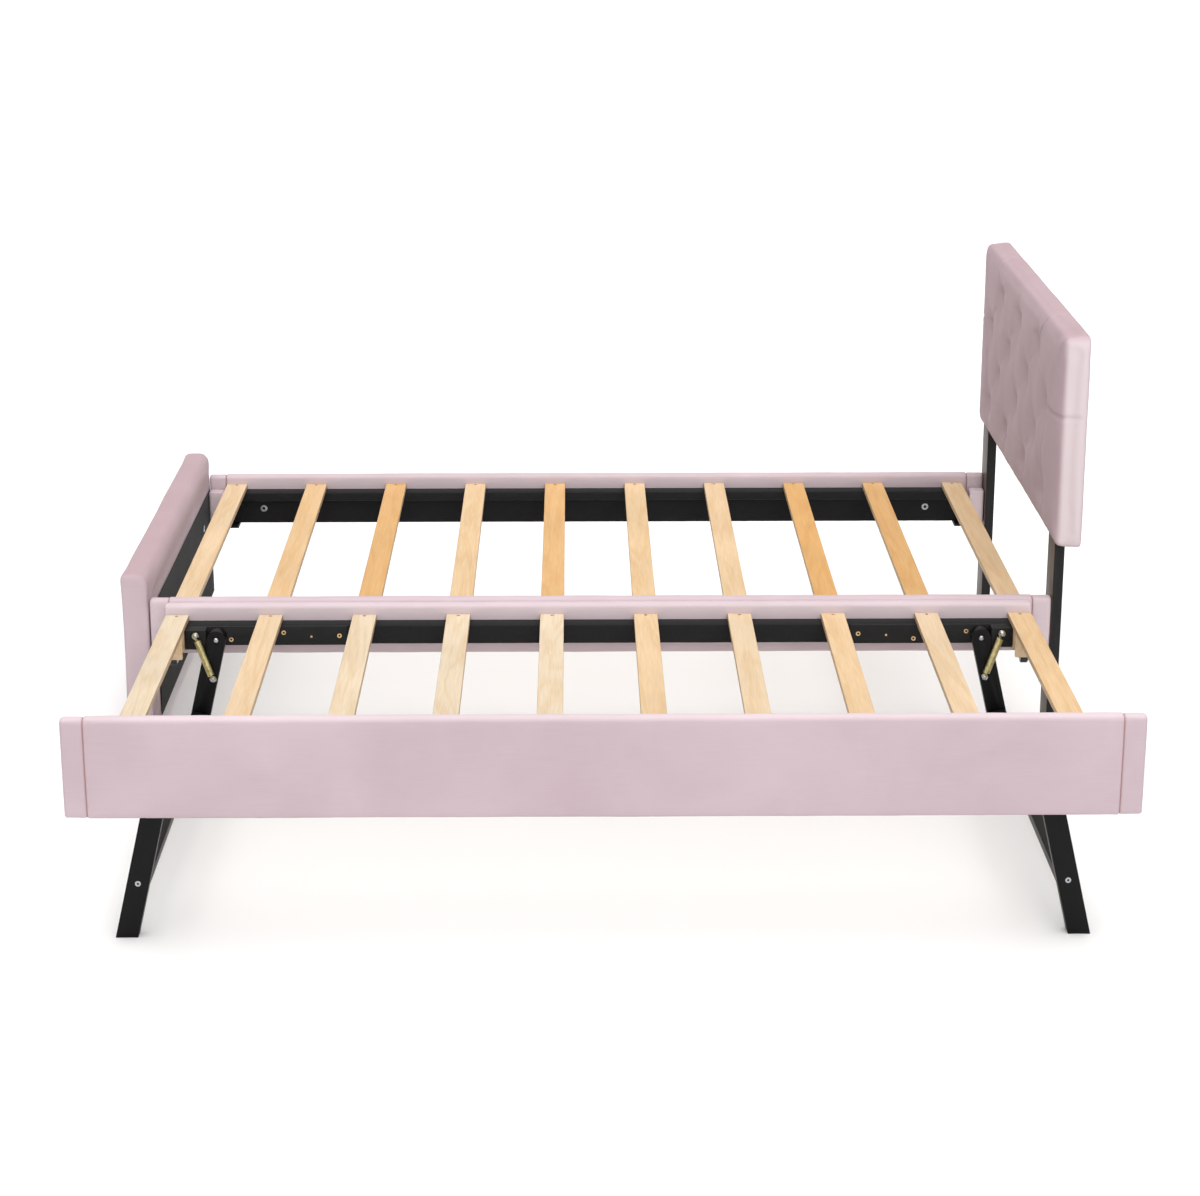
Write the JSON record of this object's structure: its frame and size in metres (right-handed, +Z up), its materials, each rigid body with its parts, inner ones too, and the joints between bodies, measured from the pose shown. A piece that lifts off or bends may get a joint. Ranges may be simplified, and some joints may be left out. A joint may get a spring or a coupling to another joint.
{
  "type": "trundle bed",
  "caption": "Low upholstered single bed with a tufted headboard and a slatted trundle that pops up on folding legs beside it.",
  "frame": {"origin": "on the floor, under the middle of the bed and its pulled-out trundle together", "axes": "+Z up, +X from the footboard to the headboard, +Y from the trundle to the fixed bed; the trundle is drawn pulled out and raised"},
  "size_m": [2.038, 2.1424, 0.915],
  "materials": {
    "velvet": "pale dusty pink velvet with a soft sheen",
    "birch": "clear sanded birch",
    "black_wood": "satin black lacquer",
    "black_cloth": "thin black non-woven lining over wood",
    "black_steel": "black powder coat",
    "spring_zinc": "yellow passivated zinc",
    "bright_zinc": "bright zinc plate",
    "black_plastic": "moulded black plastic"
  },
  "bodies": {
    "bed": {"headboard": "velvet", "near_post": "black_wood", "far_post": "black_wood", "footboard": "velvet", "near_foot": "black_plastic", "far_foot": "black_plastic", "near_side_rail": "velvet", "far_side_rail": "velvet", "near_ledger": "black_cloth", "far_ledger": "black_cloth", "slat_1": "birch", "slat_2": "birch", "slat_3": "birch", "slat_4": "birch", "slat_5": "birch", "slat_6": "birch", "slat_7": "birch", "slat_8": "birch", "slat_9": "birch", "slat_10": "birch"},
    "trundle": {"trundle_front_panel": "velvet", "trundle_rear_rail": "velvet", "trundle_front_ledger": "black_cloth", "trundle_rear_ledger": "black_cloth", "trundle_slat_1": "birch", "trundle_slat_2": "birch", "trundle_slat_3": "birch", "trundle_slat_4": "birch", "trundle_slat_5": "birch", "trundle_slat_6": "birch", "trundle_slat_7": "birch", "trundle_slat_8": "birch", "trundle_slat_9": "birch", "trundle_slat_10": "birch", "front_left_leg_mount": "black_steel", "front_left_caster_block": "birch", "front_left_caster_bracket": "bright_zinc", "rear_left_leg_mount": "black_steel", "rear_left_caster_block": "birch", "rear_left_caster_bracket": "bright_zinc", "front_right_leg_mount": "black_steel", "front_right_caster_block": "birch", "front_right_caster_bracket": "bright_zinc", "rear_right_leg_mount": "black_steel", "rear_right_caster_block": "birch", "rear_right_caster_bracket": "bright_zinc"},
    "left_legs": {"front_left_leg": "black_wood", "rear_left_leg": "black_wood", "left_cross_bar": "black_wood"},
    "right_legs": {"front_right_leg": "black_wood", "rear_right_leg": "black_wood", "right_cross_bar": "black_wood"},
    "left_spring_top": {"left_spring_top": "spring_zinc"},
    "left_spring_end": {"left_spring_end": "spring_zinc"},
    "right_spring_top": {"right_spring_top": "spring_zinc"},
    "right_spring_end": {"right_spring_end": "spring_zinc"},
    "front_left_wheel": {"front_left_wheel": "black_plastic"},
    "rear_left_wheel": {"rear_left_wheel": "black_plastic"},
    "front_right_wheel": {"front_right_wheel": "black_plastic"},
    "rear_right_wheel": {"rear_right_wheel": "black_plastic"}
  },
  "joints": [
    {"name": "trundle_lift", "type": "slide", "parent": "bed", "child": "trundle", "axis": [0, 0, 1], "range_m": [-0.235, 0]},
    {"name": "left_leg_fold", "type": "hinge", "parent": "trundle", "child": "left_legs", "pos_m": [-0.8035, -0.55125, 0.2845], "axis": [0, -1, 0], "range_deg": [0, 103.35]},
    {"name": "left_spring_swing", "type": "hinge", "parent": "trundle", "child": "left_spring_top", "pos_m": [-0.845, -0.14105, 0.297], "axis": [0, -1, 0], "range_deg": [0, 70.35]},
    {"name": "left_spring_stretch", "type": "slide", "parent": "left_spring_top", "child": "left_spring_end", "axis": [0.3251, 0, -0.9457], "range_m": [0, 0.0233]},
    {"name": "right_leg_fold", "type": "hinge", "parent": "trundle", "child": "right_legs", "pos_m": [0.8035, -0.55125, 0.2845], "axis": [0, 1, 0], "range_deg": [0, 103.35]},
    {"name": "right_spring_swing", "type": "hinge", "parent": "trundle", "child": "right_spring_top", "pos_m": [0.845, -0.14105, 0.297], "axis": [0, 1, 0], "range_deg": [0, 70.35]},
    {"name": "right_spring_stretch", "type": "slide", "parent": "right_spring_top", "child": "right_spring_end", "axis": [-0.3251, 0, -0.9457], "range_m": [0, 0.0233]},
    {"name": "front_left_wheel_spin", "type": "hinge", "parent": "trundle", "child": "front_left_wheel", "pos_m": [-0.8921, -0.95995, 0.249], "axis": [1, 0, 0], "continuous": true},
    {"name": "rear_left_wheel_spin", "type": "hinge", "parent": "trundle", "child": "rear_left_wheel", "pos_m": [-0.8921, -0.14255, 0.249], "axis": [1, 0, 0], "continuous": true},
    {"name": "front_right_wheel_spin", "type": "hinge", "parent": "trundle", "child": "front_right_wheel", "pos_m": [0.8921, -0.95995, 0.249], "axis": [1, 0, 0], "continuous": true},
    {"name": "rear_right_wheel_spin", "type": "hinge", "parent": "trundle", "child": "rear_right_wheel", "pos_m": [0.8921, -0.14255, 0.249], "axis": [1, 0, 0], "continuous": true}
  ],
  "couplings": [
    {"joint": "left_leg_fold", "follows": "trundle_lift", "rad_per_m": -7.6755},
    {"joint": "left_spring_swing", "follows": "trundle_lift", "rad_per_m": -5.2243},
    {"joint": "left_spring_stretch", "follows": "trundle_lift", "ratio": -0.098733},
    {"joint": "right_leg_fold", "follows": "trundle_lift", "rad_per_m": -7.6755},
    {"joint": "right_spring_swing", "follows": "trundle_lift", "rad_per_m": -5.2243},
    {"joint": "right_spring_stretch", "follows": "trundle_lift", "ratio": -0.098733}
  ]
}
